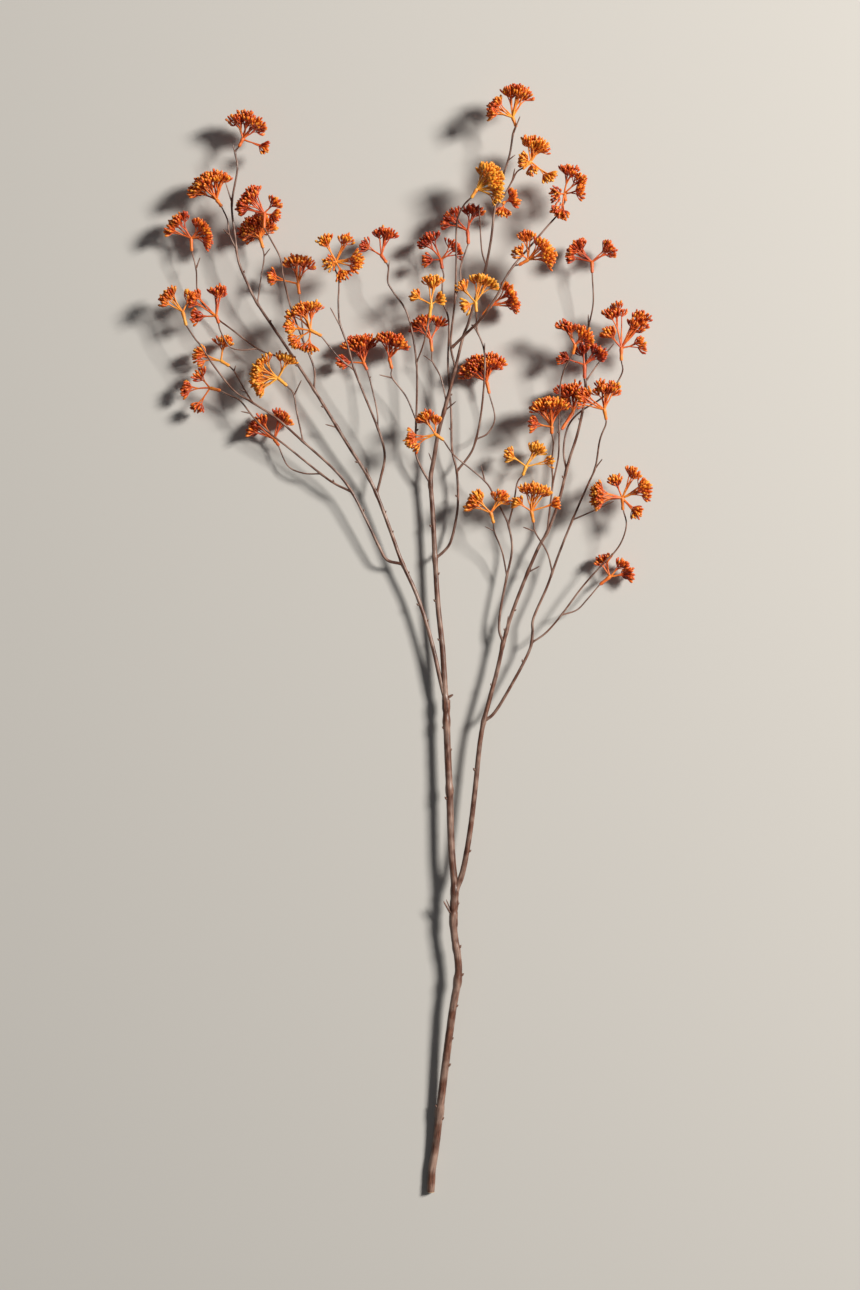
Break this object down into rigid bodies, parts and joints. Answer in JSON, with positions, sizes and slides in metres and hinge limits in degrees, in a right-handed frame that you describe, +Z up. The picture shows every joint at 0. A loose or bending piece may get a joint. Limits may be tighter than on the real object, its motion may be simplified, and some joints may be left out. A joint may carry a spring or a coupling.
{
  "type": "sea buckthorn sprig",
  "caption": "Long cut sprig with a slim branching woody stem whose twigs end in flat-topped heads of small orange berries, lying on its back.",
  "frame": {"origin": "on the surface the sprig lies on, under the middle of its outline", "axes": "+Y along the sprig from its cut foot towards its berry heads, +Z up from the surface, +X to the right"},
  "size_m": [0.4975, 1.0985, 0.0654],
  "materials": {
    "bark": "dry brown bark",
    "rust_berries": "satin rust-orange berries and stalks",
    "amber_berries": "satin amber-orange berries and stalks"
  },
  "bodies": {
    "root": {"woody_stem": "bark", "berry_head_01": "rust_berries", "berry_head_02": "rust_berries", "berry_head_03": "rust_berries", "berry_head_04": "rust_berries", "berry_head_05": "amber_berries", "berry_head_06": "rust_berries", "berry_head_07": "amber_berries", "berry_head_08": "rust_berries", "berry_head_09": "amber_berries", "berry_head_10": "amber_berries", "berry_head_11": "rust_berries", "berry_head_12": "rust_berries", "berry_head_13": "rust_berries", "berry_head_14": "amber_berries", "berry_head_15": "rust_berries", "berry_head_16": "rust_berries", "berry_head_17": "rust_berries", "berry_head_18": "amber_berries", "berry_head_19": "amber_berries", "berry_head_20": "rust_berries", "berry_head_21": "amber_berries", "berry_head_22": "rust_berries", "berry_head_23": "rust_berries", "berry_head_24": "rust_berries", "berry_head_25": "amber_berries", "berry_head_26": "amber_berries", "berry_head_27": "rust_berries", "berry_head_28": "rust_berries", "berry_head_29": "amber_berries", "berry_head_30": "rust_berries", "berry_head_31": "rust_berries", "berry_head_32": "rust_berries", "berry_head_33": "rust_berries", "berry_head_34": "rust_berries", "berry_head_35": "rust_berries", "berry_head_36": "rust_berries", "berry_head_37": "rust_berries", "berry_head_38": "rust_berries", "berry_head_39": "amber_berries", "berry_head_40": "amber_berries", "berry_head_41": "rust_berries", "berry_head_42": "rust_berries", "berry_head_43": "rust_berries"}
  },
  "joints": []
}
